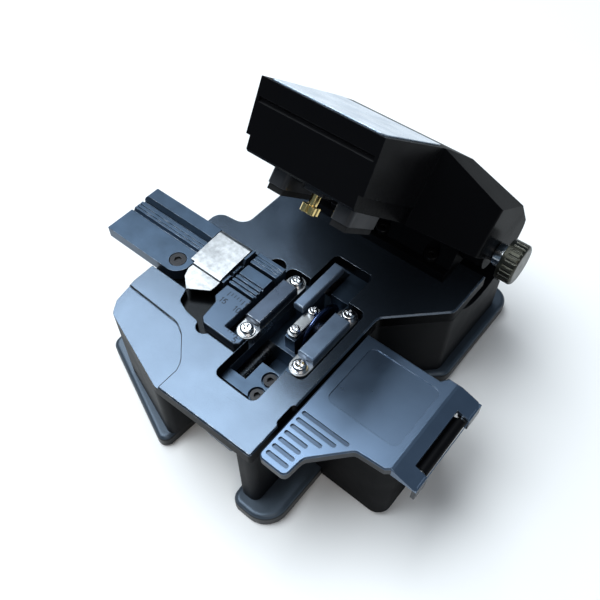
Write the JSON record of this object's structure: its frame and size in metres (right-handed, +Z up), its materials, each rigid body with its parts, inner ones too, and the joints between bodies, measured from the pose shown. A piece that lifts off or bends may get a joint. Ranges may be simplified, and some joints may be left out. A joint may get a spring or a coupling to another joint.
{
  "type": "fibre optic cleaver",
  "caption": "Hand-held precision fibre cleaver with an open hinged lid, clamps, round blade, fibre holder and scrap box.",
  "frame": {"origin": "centre of the footprint, on the table", "axes": "+Z up; +X along the fibre, from the fibre holder towards the scrap box; +Y from the operator to the hinge"},
  "size_m": [0.1116, 0.1062, 0.096],
  "materials": {
    "black_anodised": "satin anodised, softly reflecting",
    "black_lid": "semi-gloss",
    "top_film": "glossy pale film",
    "black_plastic": "fine moulded grain",
    "rubber_black": "matte",
    "pad_rubber": "matte pale grey",
    "bare_metal": "satin",
    "dark_metal": "machined",
    "spring_steel": "satin",
    "screw_chrome": "polished",
    "black_steel": "black oxide",
    "blade_carbide": "polished, bluish",
    "anvil_brass": "polished"
  },
  "bodies": {
    "base": {"base_shell": "black_anodised", "base_shoe": "black_anodised", "rubber_feet": "rubber_black", "bottom_cover": "black_anodised", "bottom_screws": "black_steel", "deck_plate": "black_anodised", "chassis_plate": "dark_metal", "chassis_screws": "black_steel", "carriage_rails": "spring_steel", "guide_plate": "black_anodised", "v_groove_block": "dark_metal", "guide_rear_block": "dark_metal", "left_clamp_bracket": "bare_metal", "right_clamp_bracket": "bare_metal", "left_lower_pad": "dark_metal", "right_lower_pad": "dark_metal", "clamp_washers": "screw_chrome", "clamp_screws": "screw_chrome", "hinge_block": "black_anodised", "hinge_block_screws": "black_steel", "hinge_pin": "spring_steel", "friction_washer": "screw_chrome", "side_screw": "screw_chrome", "bin_rail": "black_anodised"},
    "knob": {"hinge_knob": "bare_metal"},
    "carriage": {"carriage_block": "dark_metal", "carriage_bar": "pad_rubber", "push_tab": "black_plastic", "blade_bracket": "bare_metal", "bracket_screws": "screw_chrome", "blade_arbor": "spring_steel"},
    "blade": {"blade_disc": "blade_carbide", "blade_hub": "spring_steel"},
    "holder": {"fiber_holder": "dark_metal", "holder_screw": "black_steel", "leaf_pin": "spring_steel"},
    "leaf": {"holder_leaf": "spring_steel"},
    "lid": {"lid_shell": "black_lid", "lid_top_plate": "top_film", "lid_inner_plate": "bare_metal", "inner_plate_screws": "screw_chrome", "anvil_guide": "bare_metal", "left_clamp_springs": "spring_steel", "right_clamp_springs": "spring_steel"},
    "left_clamp": {"left_upper_clamp": "bare_metal", "left_upper_pad": "pad_rubber"},
    "right_clamp": {"right_upper_clamp": "bare_metal", "right_upper_pad": "pad_rubber"},
    "anvil": {"anvil": "anvil_brass"},
    "scrap_bin": {"bin_body": "black_plastic", "cover_pin": "spring_steel"},
    "bin_lid": {"bin_cover": "black_plastic"}
  },
  "joints": [
    {"name": "knob_turn", "type": "hinge", "parent": "base", "child": "knob", "pos_m": [0.0422, 0.032, 0.041], "axis": [1, 0, 0], "continuous": true},
    {"name": "carriage_slide", "type": "slide", "parent": "base", "child": "carriage", "axis": [0, 1, 0], "range_m": [-0.009, 0.001]},
    {"name": "blade_turn", "type": "hinge", "parent": "carriage", "child": "blade", "pos_m": [0.01, -0.0088, 0.0265], "axis": [1, 0, 0], "continuous": true},
    {"name": "holder_slide", "type": "slide", "parent": "base", "child": "holder", "axis": [-1, 0, 0], "range_m": [0, 0.012]},
    {"name": "leaf_hinge", "type": "hinge", "parent": "holder", "child": "leaf", "pos_m": [-0.02285, -0.0058, 0.0345], "axis": [-1, 0, 0], "range_deg": [0, 80]},
    {"name": "lid_hinge", "type": "hinge", "parent": "base", "child": "lid", "pos_m": [0.00645, 0.032, 0.041], "axis": [1, 0, 0], "range_deg": [-8, 42]},
    {"name": "left_clamp_press", "type": "slide", "parent": "lid", "child": "left_clamp", "axis": [0, 0.6691, 0.7431], "range_m": [0, 0.0015], "stiffness_N_per_m": 200, "springref_m": -0.002},
    {"name": "right_clamp_press", "type": "slide", "parent": "lid", "child": "right_clamp", "axis": [0, 0.6691, 0.7431], "range_m": [0, 0.0015], "stiffness_N_per_m": 200, "springref_m": -0.002},
    {"name": "anvil_press", "type": "slide", "parent": "lid", "child": "anvil", "axis": [0, 0.6691, 0.7431], "range_m": [0, 0.0012], "stiffness_N_per_m": 200, "springref_m": -0.002},
    {"name": "bin_slide", "type": "slide", "parent": "base", "child": "scrap_bin", "axis": [0, -1, 0], "range_m": [0, 0.045]},
    {"name": "bin_cover_hinge", "type": "hinge", "parent": "scrap_bin", "child": "bin_lid", "pos_m": [0.0539, -0.018, 0.0293], "axis": [0, 1, 0], "range_deg": [0, 90]}
  ]
}
